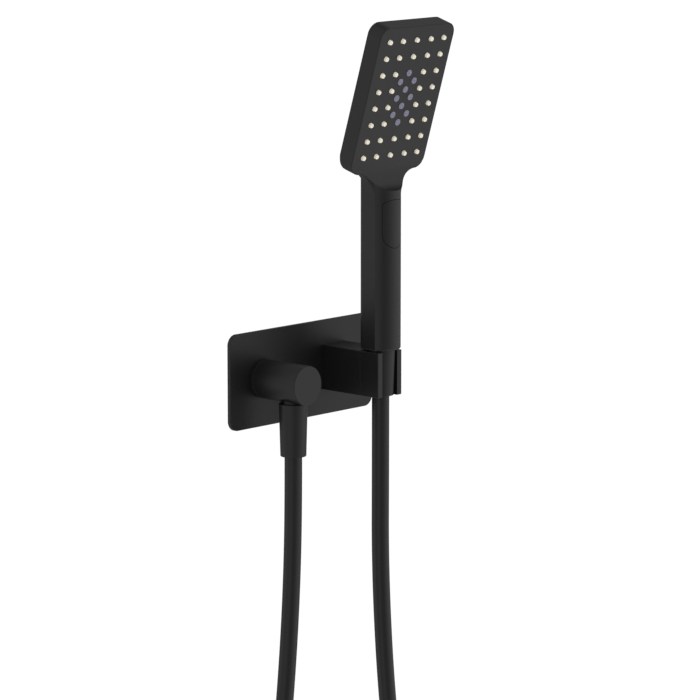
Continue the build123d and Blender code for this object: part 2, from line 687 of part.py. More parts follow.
def make_handset_shell():
    shell = handset_form(0.0, 0.0, HANDLE_BOTTOM)
    shell -= handset_form(WALL, WALL, HANDLE_BOTTOM + PLUG_THICK)
    shell -= front_air(0.0)
    shell -= handset_form(COVER_INSET - SEAM, 0.0, HANDLE_BOTTOM) & front_air(COVER_THICK)
    shell -= tube_z(CONNECTOR_NECK_R + SCREW_GAP, HANDLE_BOTTOM, HANDLE_BOTTOM + PLUG_THICK)
    shell -= button_prism(PASS_GAP, BUTTON_TRAVEL)
    return HANDSET_PLACE * shell


def make_front_cover():
    cover = (handset_form(COVER_INSET, 0.0, HANDLE_BOTTOM) & front_air(COVER_THICK)) - front_air(0.0)
    holes = [
        Pos(x, y, -COVER_THICK) * tube_z(NOZZLE_BASE_R + NOZZLE_CLEARANCE, -1, COVER_THICK + 1)
        for x, y in nozzle_spots()
    ]
    holes += [
        Pos(x, y, -COVER_THICK) * tube_z(MIST_R + NOZZLE_CLEARANCE, -1, COVER_THICK + 1) for x, y in mist_spots()
    ]
    cover -= [on_face(hole) for hole in holes]
    return HANDSET_PLACE * cover


# ------------------------------------------------------------------ spray chamber
def chamber_outline(inset):
    """The rounded rectangle of the chamber's layers, across and up from the bottom row."""
    top = HEAD_TOP - CHAMBER_INSET - inset
    bottom = -CHAMBER_DROP + inset
    width = 2 * (HEAD_HALF_WIDTH - CHAMBER_INSET - inset)
    return Pos(0, (top + bottom) / 2) * RectangleRounded(width, top - bottom, CHAMBER_CORNER)


def layer(outline, front, back):
    """A flat layer between two depths below the face."""
    return Pos(0, 0, -back) * extrude(outline, back - front)


def make_nozzle_mat():
    mat = layer(chamber_outline(0.0), COVER_THICK + STACK_GAP, MAT_BACK)
    mat -= [Pos(x, y, -MAT_BACK) * tube_z(MIST_R + NOZZLE_CLEARANCE, -1, MAT_BACK) for x, y in mist_spots()]
    for x, y in nozzle_spots():
        nozzle = tube_z(NOZZLE_BASE_R, -MAT_BACK + MAT_THICK / 2, 0)
        nozzle += cone_z(NOZZLE_BASE_R, NOZZLE_TIP_R, 0, NOZZLE_PROUD)
        mat += Pos(x, y, 0) * nozzle
    mat -= [Pos(x, y, 0) * tube_z(NOZZLE_BORE_R, -MAT_BACK, NOZZLE_PROUD) for x, y in nozzle_spots()]
    return HANDSET_PLACE * on_face(mat)


def make_mist_nozzles():
    insert = tube_z(MIST_R, -MAT_BACK, 0, MIST_BORE_R)
    insert -= cone_z(MIST_BORE_R, 2 * MIST_BORE_R, -MIST_BORE_R, 0)
    return group([HANDSET_PLACE * on_face(Pos(x, y, 0) * insert) for x, y in mist_spots()])


def seal_track(clearance):
    outer = chamber_outline(SEAL_EDGE - clearance)
    inner = chamber_outline(SEAL_EDGE + SEAL_WIDTH + clearance)
    return layer(outer - inner, DISTRIBUTOR_BACK - SEAL_DEPTH - clearance, DISTRIBUTOR_BACK)


def make_distributor():
    plate = layer(chamber_outline(0.0), DISTRIBUTOR_FRONT, DISTRIBUTOR_BACK)
    middle = Pos(0, MIDDLE_ROW * ROW_PITCH)
    mist_width, mist_height = MIST_CHAMBER
    island = middle * Rectangle(mist_width, mist_height)
    pocket = chamber_outline(SEAL_EDGE + SEAL_WIDTH + CHAMBER_RIB) - island
    plate -= layer(pocket, DISTRIBUTOR_BACK - CHANNEL_DEPTH, DISTRIBUTOR_BACK)
    mist_pocket = middle * Rectangle(mist_width - 2 * CHAMBER_RIB, mist_height - 2 * CHAMBER_RIB)
    plate -= layer(mist_pocket, DISTRIBUTOR_BACK - CHANNEL_DEPTH, DISTRIBUTOR_BACK)
    plate -= seal_track(SCREW_GAP)
    for x, y in nozzle_spots() + mist_spots():
        plate -= Pos(x, y, 0) * tube_z(FEED_BORE_R, -DISTRIBUTOR_BACK, -DISTRIBUTOR_FRONT)
    for x, y in lid_screw_spots():
        plate += Pos(x, y, 0) * tube_z(LID_SCREW_HEAD_R, -DISTRIBUTOR_BACK, -DISTRIBUTOR_FRONT)
        plate -= Pos(x, y, 0) * tube_z(LID_SCREW_R + SCREW_GAP, -DISTRIBUTOR_BACK, -DISTRIBUTOR_FRONT)
    return HANDSET_PLACE * on_face(plate)


def make_chamber_seal():
    return HANDSET_PLACE * on_face(seal_track(0.0))


def make_chamber_lid():
    lid = layer(chamber_outline(0.0), LID_FRONT, LID_BACK)
    for x, y in lid_screw_spots():
        lid -= Pos(x, y, 0) * tube_z(LID_SCREW_R + SCREW_GAP, -LID_BACK, -LID_FRONT)
    for side in (-1, 1):
        lid -= Pos(side * RISER_BORE_X, -CHAMBER_DROP / 2, 0) * tube_z(RISER_BORE_R, -LID_BACK, -LID_FRONT)
    return HANDSET_PLACE * on_face(lid)


def make_lid_screws():
    head_end = -LID_BACK - LID_SCREW_HEAD
    head = tube_z(LID_SCREW_HEAD_R, head_end, -LID_BACK - STACK_GAP)
    shank = tube_z(LID_SCREW_R, -LID_BACK - STACK_GAP, -DISTRIBUTOR_FRONT)
    half = LID_SCREW_SLOT_HALF
    slot = block(-LID_SCREW_HEAD_R, LID_SCREW_HEAD_R, -half, half, head_end, head_end + LID_SCREW_SLOT_DEPTH)
    screw = head + shank - slot
    return group([HANDSET_PLACE * on_face(Pos(x, y, 0) * screw) for x, y in lid_screw_spots()])


# ------------------------------------------------------------------ inside the handle
def make_inlet_connector():
    high = HANDLE_BOTTOM + CONNECTOR_NECK_LENGTH
    solid = tube_z(THREAD_R, CONNECTOR_BOTTOM, HANDLE_BOTTOM - STACK_GAP)
    solid += tube_z(CONNECTOR_NECK_R, HANDLE_BOTTOM - 1.0, high)
    solid -= tube_z(CONNECTOR_BORE_R, CONNECTOR_BOTTOM, high)
    solid -= ring(CONNECTOR_NECK_R, ORING_R, HANDLE_BOTTOM + PLUG_THICK / 2)
    return HANDSET_PLACE * solid


def make_connector_oring():
    height = HANDLE_BOTTOM + PLUG_THICK / 2
    limit = tube_z(CONNECTOR_NECK_R + SCREW_GAP / 2, HANDLE_BOTTOM, HANDLE_BOTTOM + PLUG_THICK)
    return HANDSET_PLACE * (ring(CONNECTOR_NECK_R, ORING_R - SCREW_GAP, height) & limit)


def make_flow_limiter():
    low = CONNECTOR_BOTTOM + LIMITER_INSET
    high = low + LIMITER_THICK
    disc = tube_z(CONNECTOR_BORE_R - SCREW_GAP, low, high, LIMITER_BORE_R)
    disc -= PolarLocations(LIMITER_HOLE_RING, LIMITER_HOLES) * tube_z(LIMITER_HOLE_R, low, high)
    return HANDSET_PLACE * disc


def make_water_tube():
    low = HANDLE_BOTTOM + CONNECTOR_NECK_LENGTH + STACK_GAP
    return HANDSET_PLACE * tube_z(TUBE_R, low, VALVE_BOTTOM - STACK_GAP, TUBE_R - TUBE_WALL)


def shuttle_axis():
    return Pos(0, SHUTTLE_BEHIND, 0)


def make_valve_body():
    body = column(WALL + SEAM, VALVE_BOTTOM, VALVE_TOP) - back_air(WALL + SEAM)
    body &= block(-HANDLE_R, HANDLE_R, -VALVE_FRONT, HANDLE_R, VALVE_BOTTOM, VALVE_TOP)
    low = SHUTTLE_BOTTOM - SHUTTLE_BORE_FLOOR
    body -= shuttle_axis() * tube_z(SHUTTLE_R + TURN_GAP, low, VALVE_TOP - SHUTTLE_BORE_FLOOR)
    body -= shuttle_axis() * tube_z(SHUTTLE_R - SHUTTLE_SEAT_LAP, VALVE_BOTTOM, low)
    body -= Pos(0, 0, BUTTON_Z) * tube_y(STEM_R + TURN_GAP, -SHUTTLE_BEHIND, VALVE_FRONT)
    pocket = tube_y(STEM_SEAL_R + SCREW_GAP, VALVE_FRONT - STEM_SEAL_LENGTH, VALVE_FRONT)
    body -= Pos(0, 0, BUTTON_Z) * pocket
    for side in (-1, 1):
        body -= Pos(side * RISER_BORE_X, 0, 0) * tube_z(RISER_BORE_R, VALVE_TOP - RISER_PORT_DEPTH, VALVE_TOP)
    return HANDSET_PLACE * body


def shuttle_ring_heights():
    return (SHUTTLE_BOTTOM + SHUTTLE_RING_INSET, SHUTTLE_TOP - SHUTTLE_RING_INSET)


def make_shuttle_valve():
    shuttle = tube_z(SHUTTLE_R, SHUTTLE_BOTTOM, SHUTTLE_TOP)
    for height in shuttle_ring_heights():
        shuttle -= ring(SHUTTLE_R, ORING_R, height)
    half = STEM_R + PASS_GAP
    start = WEDGE_START - SHUTTLE_BEHIND
    top = BUTTON_Z + STEM_R + WEDGE_GAP * sqrt(2)
    bottom = BUTTON_Z - STEM_R - BUTTON_TRAVEL - PASS_GAP
    fall = top - bottom
    side = [(-2 * SHUTTLE_R, top), (start, top), (start + fall, bottom), (-2 * SHUTTLE_R, bottom)]
    window = extrude(Plane.YZ * make_face(Polyline(*side, close=True)), half, both=True)
    return HANDSET_PLACE * shuttle_axis() * (shuttle - window)


def make_shuttle_orings():
    limit = tube_z(SHUTTLE_R + TURN_GAP / 2, SHUTTLE_BOTTOM, SHUTTLE_TOP)
    rings = [ring(SHUTTLE_R, ORING_R - SCREW_GAP, height) & limit for height in shuttle_ring_heights()]
    return group([HANDSET_PLACE * shuttle_axis() * one for one in rings])


def make_shuttle_spring():
    high = VALVE_TOP - SHUTTLE_BORE_FLOOR - STACK_GAP
    spring = coil(SHUTTLE_SPRING_R, SHUTTLE_SPRING_WIRE, SHUTTLE_TOP + STACK_GAP, high, SHUTTLE_SPRING_TURNS)
    return HANDSET_PLACE * shuttle_axis() * spring


def make_riser():
    riser = block(-RISER_HALF_WIDTH, RISER_HALF_WIDTH, -RISER_FRONT, RISER_BACK, VALVE_TOP + STACK_GAP, FAR)
    riser = fillet(riser.edges().filter_by(Axis.Z), RISER_EDGE)
    riser -= on_face(block(-FAR, FAR, -CHAMBER_DROP - STACK_GAP * 2, FAR, -FAR, FAR))
    for side in (-1, 1):
        riser -= Pos(side * RISER_BORE_X, 0, 0) * tube_z(RISER_BORE_R, VALVE_TOP, FAR)
    return HANDSET_PLACE * riser


# ------------------------------------------------------------------ button
def button_prism(clearance, travel=0.0):
    """The button's outline, round below and crowned above, run through the handle's front wall."""
    half = BUTTON_WIDTH / 2 + clearance
    top = BUTTON_ABOVE + clearance
    bottom = -BUTTON_BELOW - clearance + half
    crown = BUTTON_CROWN_R + clearance
    body = Pos(0, (top + bottom) / 2) * Rectangle(2 * half, top - bottom)
    body &= Pos(0, top - crown) * Circle(crown)
    body = fillet(body.vertices().filter_by(lambda vertex: vertex.Y > 0), BUTTON_CORNER + clearance)
    outline = body + Pos(0, bottom) * Circle(half)
    depth = HANDLE_R - BUTTON_BACK + 2 * clearance + travel
    prism = extrude(Plane.XZ * outline, depth)
    return Pos(0, -BUTTON_BACK + clearance + travel, BUTTON_Z) * prism


def make_mode_button():
    button = button_prism(0.0) & column(0.0, HANDLE_BOTTOM, BOTTOM_ROW_Z)
    stem_end = WEDGE_START + 2 * STEM_R
    stem = Pos(0, 0, BUTTON_Z) * tube_y(STEM_R, -stem_end, BUTTON_BACK)
    top = BUTTON_Z + STEM_R
    side = [(WEDGE_START, top), (stem_end + 1, top), (stem_end + 1, BUTTON_Z - STEM_R - 1)]
    wedge = extrude(Plane.YZ * make_face(Polyline(*side, close=True)), FAR, both=True)
    return HANDSET_PLACE * (button + (stem - wedge))


def make_button_spring():
    low = VALVE_FRONT + STACK_GAP
    high = BUTTON_BACK - STACK_GAP
    spring = coil(BUTTON_SPRING_R, BUTTON_SPRING_WIRE, low, high, BUTTON_SPRING_TURNS)
    return HANDSET_PLACE * Pos(0, 0, BUTTON_Z) * Rot(90, 0, 0) * spring


def make_stem_seal():
    seal = tube_y(STEM_SEAL_R, VALVE_FRONT - STEM_SEAL_LENGTH, VALVE_FRONT, STEM_R + TURN_GAP)
    return HANDSET_PLACE * Pos(0, 0, BUTTON_Z) * seal


NODES = {
    "wall_plate": make_wall_plate,
    "wall_gasket": make_wall_gasket,
    "inlet_nipple": make_inlet_nipple,
    "collar_seal": make_collar_seal,
    "outlet_collar": make_outlet_collar,
    "outlet_body": make_outlet_body,
    "outlet_spigot": make_outlet_spigot,
    "spigot_oring": make_spigot_oring,
    "check_valve_cage": make_check_valve_cage,
    "check_valve_poppet": make_check_valve_poppet,
    "check_valve_spring": make_check_valve_spring,
    "lower_washer": lambda: SPIGOT_PLACE * washer(LOWER_WASHER_TOP),
    "lower_ferrule": lambda: SPIGOT_PLACE * ferrule(LOWER_FERRULE_TOP),
    "lower_sleeve": lambda: SPIGOT_PLACE * sleeve(LOWER_FERRULE_TOP),
    "lower_nut": make_lower_nut,
    "shower_hose": make_shower_hose,
    "holder_arm": make_holder_arm,
    "holder_cradle": make_holder_cradle,
    "arm_screws": make_arm_screws,
    "upper_ferrule": lambda: HANDSET_PLACE * ferrule(UPPER_FERRULE_TOP),
    "upper_sleeve": lambda: HANDSET_PLACE * sleeve(UPPER_FERRULE_TOP),
    "upper_washer": lambda: HANDSET_PLACE * washer(UPPER_WASHER_TOP),
    "upper_nut": make_upper_nut,
    "inlet_connector": make_inlet_connector,
    "connector_oring": make_connector_oring,
    "flow_limiter": make_flow_limiter,
    "handset_shell": make_handset_shell,
    "front_cover": make_front_cover,
    "nozzle_mat": make_nozzle_mat,
    "mist_nozzles": make_mist_nozzles,
    "distributor": make_distributor,
    "chamber_seal": make_chamber_seal,
    "chamber_lid": make_chamber_lid,
    "lid_screws": make_lid_screws,
    "water_tube": make_water_tube,
    "valve_body": make_valve_body,
    "shuttle_valve": make_shuttle_valve,
    "shuttle_orings": make_shuttle_orings,
    "shuttle_spring": make_shuttle_spring,
    "riser": make_riser,
    "mode_button": make_mode_button,
    "button_spring": make_button_spring,
    "stem_seal": make_stem_seal,
}

os.makedirs("parts", exist_ok=True)
for node, make in NODES.items():
    export_step(make(), f"parts/{node}.step")
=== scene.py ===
import json
from math import cos, pi, radians, sin

import bmesh
import bpy
import numpy as np
from bpy.props import FloatProperty, FloatVectorProperty, IntProperty, PointerProperty
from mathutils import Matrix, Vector


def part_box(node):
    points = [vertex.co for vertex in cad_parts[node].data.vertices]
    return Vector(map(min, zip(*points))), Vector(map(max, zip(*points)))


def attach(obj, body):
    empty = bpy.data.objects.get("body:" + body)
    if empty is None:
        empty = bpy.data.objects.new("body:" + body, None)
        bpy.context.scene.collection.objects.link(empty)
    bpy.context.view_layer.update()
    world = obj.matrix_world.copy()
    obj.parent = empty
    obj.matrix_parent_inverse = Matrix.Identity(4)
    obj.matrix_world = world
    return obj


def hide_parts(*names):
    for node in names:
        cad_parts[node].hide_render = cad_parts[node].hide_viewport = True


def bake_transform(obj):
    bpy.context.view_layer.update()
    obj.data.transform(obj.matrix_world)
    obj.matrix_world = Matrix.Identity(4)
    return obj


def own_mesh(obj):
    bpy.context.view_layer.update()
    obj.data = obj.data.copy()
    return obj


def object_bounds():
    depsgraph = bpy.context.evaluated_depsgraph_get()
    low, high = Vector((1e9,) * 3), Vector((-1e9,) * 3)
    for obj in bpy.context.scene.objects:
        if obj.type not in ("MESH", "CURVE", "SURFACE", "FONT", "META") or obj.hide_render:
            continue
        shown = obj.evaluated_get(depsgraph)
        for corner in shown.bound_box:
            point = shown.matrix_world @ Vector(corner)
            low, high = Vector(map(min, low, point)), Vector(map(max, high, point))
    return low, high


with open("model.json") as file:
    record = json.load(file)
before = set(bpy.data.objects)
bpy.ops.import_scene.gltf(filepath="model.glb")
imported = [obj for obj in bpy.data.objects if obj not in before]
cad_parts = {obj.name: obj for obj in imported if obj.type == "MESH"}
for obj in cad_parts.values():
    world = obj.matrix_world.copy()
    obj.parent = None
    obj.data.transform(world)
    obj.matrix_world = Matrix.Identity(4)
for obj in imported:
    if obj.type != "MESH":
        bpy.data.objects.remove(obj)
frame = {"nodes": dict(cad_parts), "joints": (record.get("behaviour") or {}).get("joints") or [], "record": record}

bl_info = {
    "name": "Hand Shower Set",
    "version": (1, 0, 0),
    "blender": (4, 5, 0),
    "location": "View3D > Sidebar > Shower",
    "description": "Finishes and fine pieces of a wall-held hand shower with its hose",
    "category": "Object",
}

MM = 0.001
MERGE = 1e-6
# Brightness of the studio's walls by bearing, in turns from -X through -Y, for reflections only.
STUDIO_LEVELS = (
    (0.0, 0.5), (0.044, 0.62), (0.09, 0.45), (0.12, 0.33), (0.155, 0.2), (0.19, 0.24),
    (0.26, 0.45), (0.33, 0.72), (0.41, 0.8), (0.48, 0.5), (0.55, 0.28), (0.65, 0.2),
    (0.78, 0.3), (0.88, 0.66), (0.965, 0.36), (1.0, 0.5),
)
# Each finish: slot, material, colour setting, mottle, roughness, its spread, grain scale, fine grain scale,
# bump height in metres, metallic.
FINISHES = (
    ("black_metal", "satin black coat", "black", 0.2, 0.42, 0.06, 45.0, 2600.0, 0.00001, 0.0),
    ("black_plastic", "satin black plastic", "black", 0.2, 0.4, 0.06, 45.0, 2200.0, 0.00001, 0.0),
    ("hose_skin", "smooth hose skin", "hose", 0.2, 0.38, 0.06, 30.0, 1200.0, 0.000015, 0.0),
    ("brass", "turned brass", "brass", 0.15, 0.3, 0.1, 200.0, 3000.0, 0.00001, 1.0),
    ("steel", "stainless steel", "steel", 0.1, 0.32, 0.1, 300.0, 4000.0, 0.00001, 1.0),
    ("seal_rubber", "seal rubber", "rubber", 0.3, 0.7, 0.1, 200.0, 2500.0, 0.00002, 0.0),
    ("cream_silicone", "cream silicone", "silicone", 0.12, 0.5, 0.1, 500.0, 4000.0, 0.00001, 0.0),
    ("mist_plastic", "mist insert plastic", "mist", 0.2, 0.35, 0.1, 400.0, 4000.0, 0.00001, 0.0),
    ("inner_plastic", "inner plastic", "inner", 0.08, 0.5, 0.1, 120.0, 2000.0, 0.00001, 0.0),
)
CAD_BOX = [list(corner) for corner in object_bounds()]
NODES = frame["nodes"]
JOINTS = {joint["name"]: joint for joint in frame["joints"]}

# The hose's route from the outlet's ferrule to the handset's ferrule, in metres.
HOSE_ROUTE = (
    (-0.045, -0.036, -0.0421),
    (-0.045, -0.036, -0.1),
    (-0.0474, -0.036, -0.165),
    (-0.0528, -0.0362, -0.23),
    (-0.0618, -0.0368, -0.3),
    (-0.0708, -0.0378, -0.37),
    (-0.0782, -0.039, -0.436),
    (-0.0824, -0.0402, -0.488),
    (-0.08, -0.0414, -0.536),
    (-0.0505, -0.0432, -0.576),
    (-0.003, -0.0454, -0.592),
    (0.045, -0.0476, -0.577),
    (0.075, -0.0496, -0.537),
    (0.078, -0.051, -0.489),
    (0.0726, -0.0522, -0.44),
    (0.0616, -0.0533, -0.378),
    (0.0505, -0.0541, -0.31),
    (0.0412, -0.0545, -0.236),
    (0.0361, -0.0545, -0.154),
    (0.03635, -0.0545, -0.0804),
    (0.03635, -0.0545, -0.0071),
)
HANDSET_AXIS = JOINTS["handset_turn"]["pos_m"]
OUTLET_AXIS = JOINTS["outlet_nut_turn"]["pos_m"]
FACE_TILT = radians(17.07)
ROW_PITCH = 13.81 * MM
ROW_COUNT = 8
COLUMNS = (-0.03108, -0.01614, 0.0, 0.01614, 0.03108)
OPEN_ROWS = (2, 3, 4, 5)
BOTTOM_ROW = (HANDSET_AXIS[0], HANDSET_AXIS[1] - 0.0095, 0.1761)
MIST_STEP = 7.88 * MM
MAT_BACK = 4.25 * MM  # behind the face
SHEET_FRONT = 2.65 * MM
SHEET_SPAN = (-7.9 * MM, 105.2 * MM)
SHEET_HALF_WIDTH = 39.1 * MM
THREAD_PITCH = 1.814 * MM
THREAD_DEPTH = 1.0 * MM
THREAD_END = 0.2 * MM
THREAD_ENTRY = 1.6 * MM
NIPPLE_ROOT_R = 9.4 * MM
NIPPLE_BORE_R = 5.5 * MM
HEX_R = 6.9 * MM
HEX_DEPTH = 7.0 * MM
# Each spring: piece, node, body, the joint that shortens it, its axis, and which end of its box stays put.
SPRINGS = (
    ("button_coil", "button_spring", "handset", "button_press", 1, 1),
    ("shuttle_coil", "shuttle_spring", "handset", "shuttle_slide", 2, 1),
    ("check_valve_coil", "check_valve_spring", "root", "check_valve_open", 2, 0),
)
SHEET_SQUARENESS = 12  # higher for tighter corners
SHEET_POINTS = 96
THREAD_STEPS = 113
NIPPLE_SIDES = 96
NOZZLE_SIDES = 20
MIST_SIDES = 32
# A nozzle's blunt rim, in mm outward from the tip's radius and up from its end.
NOZZLE_RIM = ((0.18, -0.45), (0.08, -0.18), (-0.12, -0.03), (-0.4, 0.0))
NOZZLE_TAPER = (-0.06, 0.25)  # start of the taper, from the base's radius and the face
# Its jet hole, in mm outward from the bore's radius and up from the nozzle's end.
NOZZLE_JET = ((0.25, -0.05), (0.0, -0.3), (0.0, -1.2))
NOZZLE_JET_FLOOR = -1.3
# A mist insert's rim and cup, in mm outward from its radius and up from the face.
MIST_RIM = (
    (0.0, 0.35), (-0.12, 0.6), (-0.4, 0.75), (-0.7, 0.65),
    (-0.85, 0.3), (-1.0, 0.25), (-1.15, 0.6), (-1.5, 0.85),
)
MIST_HOLE = ((0.65, 0.9), (0.45, 0.6), (0.4, -0.4), (0.0, -0.5))  # mm from the insert's axis and the face
MIST_SPOTS = ((0, 2), (-1, 2.5), (1, 2.5), (0, 3), (-1, 3.5), (1, 3.5), (0, 4), (-1, 4.5), (1, 4.5), (0, 5))


# ------------------------------------------------------------------ settings
class StageSettings(bpy.types.PropertyGroup):
    azimuth: FloatProperty(
        name="Azimuth", description="Camera's bearing round the set",
        default=radians(-46.85), subtype="ANGLE",
    )
    elevation: FloatProperty(
        name="Elevation", description="Camera's height angle",
        default=radians(9.79), subtype="ANGLE",
    )
    distance: FloatProperty(
        name="Distance", description="Camera to the point it looks at",
        default=2.997, unit="LENGTH",
    )
    lens: FloatProperty(name="Lens", description="Focal length in millimetres", default=192.3, unit="CAMERA")
    aim: FloatVectorProperty(
        name="Aim", description="Point that the camera looks at",
        default=(0.0295, -0.0274, 0.0163), subtype="XYZ",
    )
    floor_drop: FloatProperty(
        name="Floor drop", description="Floor below the lowest point",
        default=0.03, unit="LENGTH",
    )
    floor_size: FloatProperty(name="Floor size", description="Floor's width", default=80.0, unit="LENGTH")
    backdrop: FloatVectorProperty(
        name="Backdrop", description="Floor and background colour",
        default=(1.0, 1.0, 1.0), subtype="COLOR",
    )


class FinishSettings(bpy.types.PropertyGroup):
    black: FloatVectorProperty(
        name="Black", description="Satin black coat",
        default=(0.0055, 0.0055, 0.0057), subtype="COLOR",
    )
    hose: FloatVectorProperty(
        name="Hose", description="Hose skin",
        default=(0.005, 0.005, 0.0052), subtype="COLOR",
    )
    brass: FloatVectorProperty(
        name="Brass", description="Turned brass",
        default=(0.72, 0.5, 0.22), subtype="COLOR",
    )
    steel: FloatVectorProperty(
        name="Steel", description="Stainless steel",
        default=(0.58, 0.58, 0.57), subtype="COLOR",
    )
    rubber: FloatVectorProperty(
        name="Rubber", description="Seals and washers",
        default=(0.012, 0.012, 0.012), subtype="COLOR",
    )
    silicone: FloatVectorProperty(
        name="Silicone", description="Spray nozzles",
        default=(0.9, 0.84, 0.7), subtype="COLOR",
    )
    mist: FloatVectorProperty(
        name="Mist inserts", description="Mist nozzle inserts",
        default=(0.22, 0.22, 0.3), subtype="COLOR",
    )
    inner: FloatVectorProperty(
        name="Inner plastic", description="Hidden mouldings",
        default=(0.68, 0.68, 0.65), subtype="COLOR",
    )


class HoseSettings(bpy.types.PropertyGroup):
    radius: FloatProperty(name="Radius", description="Hose's outside radius", default=0.007, unit="LENGTH")
    length: FloatProperty(
        name="Length", description="Free hose between its ferrules",
        default=1.222, unit="LENGTH",
    )
    sides: IntProperty(name="Sides", description="Points round the hose", default=48, min=12)


class NozzleSettings(bpy.types.PropertyGroup):
    base_radius: FloatProperty(
        name="Base radius", description="Nozzle where it leaves the face",
        default=0.0021, unit="LENGTH",
    )
    tip_radius: FloatProperty(
        name="Tip radius", description="Nozzle's blunt end",
        default=0.0016, unit="LENGTH",
    )
    proud: FloatProperty(name="Proud", description="How far nozzles stand out", default=0.002, unit="LENGTH")
    bore: FloatProperty(name="Bore", description="Jet hole's radius", default=0.00045, unit="LENGTH")
    mist_radius: FloatProperty(
        name="Mist radius", description="Mist insert's radius",
        default=0.0027, unit="LENGTH",
    )


# ------------------------------------------------------------------ helpers
def settings(name):
    return getattr(bpy.context.scene, "shower_" + name)


def new_piece(name, points, faces, smooth=True):
    """Puts computed points and faces into a mesh object in the row frame."""
    mesh = bpy.data.meshes.new(name)
    mesh.from_pydata(points.tolist(), [], faces.tolist())
    mesh.polygons.foreach_set("use_smooth", np.full(len(mesh.polygons), smooth))
    mesh.update()
    piece = bpy.data.objects.new(name, mesh)
    bpy.context.scene.collection.objects.link(piece)
    return piece


def grid_faces(rows, columns, close_rows=False, close_columns=True):
    """Quads of a rows by columns grid of points, each direction open or closed."""
    i = np.arange(rows if close_rows else rows - 1)
    j = np.arange(columns if close_columns else columns - 1)
    a, b = np.meshgrid(i, j, indexing="ij")
    a2, b2 = (a + 1) % rows, (b + 1) % columns
    quads = np.stack([a * columns + b, a * columns + b2, a2 * columns + b2, a2 * columns + b], axis=-1)
    return quads.reshape(-1, 4)


def lathe(profile, sides, waves=None):
    """A profile of (radius, height) turned about an axis: x = r cos a, y = r sin a, z = height.

    The radius may carry a wave, a value for each place on the profile and each angle, added to it."""
    angle = np.linspace(0, 2 * pi, sides, endpoint=False)
    radius = np.repeat(profile[:, :1], sides, axis=1)
    if waves is not None:
        radius = radius + waves(profile, angle)
    height = np.repeat(profile[:, 1:], sides, axis=1)
    return np.stack([radius * np.cos(angle), radius * np.sin(angle), height], axis=-1).reshape(-1, 3)


def copies_at(points, faces, centres):
    """The same surface repeated: each copy's points are its centre added to the first's points."""
    count = len(points)
    all_points = (centres[:, None, :] + points[None, :, :]).reshape(-1, 3)
    shifts = np.arange(len(centres)) * count
    all_faces = faces[None, :, :] + shifts[:, None, None]
    return all_points, all_faces.reshape(-1, faces.shape[1])


def on_face(points):
    """Flat coordinates (across, up, out) turned onto the head's sloping face."""
    across = np.array([1.0, 0.0, 0.0])
    up = np.array([0.0, -sin(FACE_TILT), cos(FACE_TILT)])
    out = np.array([0.0, -cos(FACE_TILT), -sin(FACE_TILT)])
    return np.array(BOTTOM_ROW) + points[:, :1] * across + points[:, 1:2] * up + points[:, 2:] * out


def close_surface(piece):
    """Merges the points that meet at poles and seams and turns every face outwards."""
    work = bmesh.new()
    work.from_mesh(piece.data)
    bmesh.ops.remove_doubles(work, verts=work.verts, dist=MERGE)
    bmesh.ops.dissolve_degenerate(work, edges=work.edges, dist=MERGE)
    bmesh.ops.recalc_face_normals(work, faces=work.faces)
    work.to_mesh(piece.data)
    work.free()


def smooth_by_angle(piece, degrees):
    """Soft shading except across edges sharper than an angle."""
    piece.data.set_sharp_from_angle(angle=radians(degrees))


def material_on(piece, material):
    piece.data.materials.clear()
    piece.data.materials.append(material)


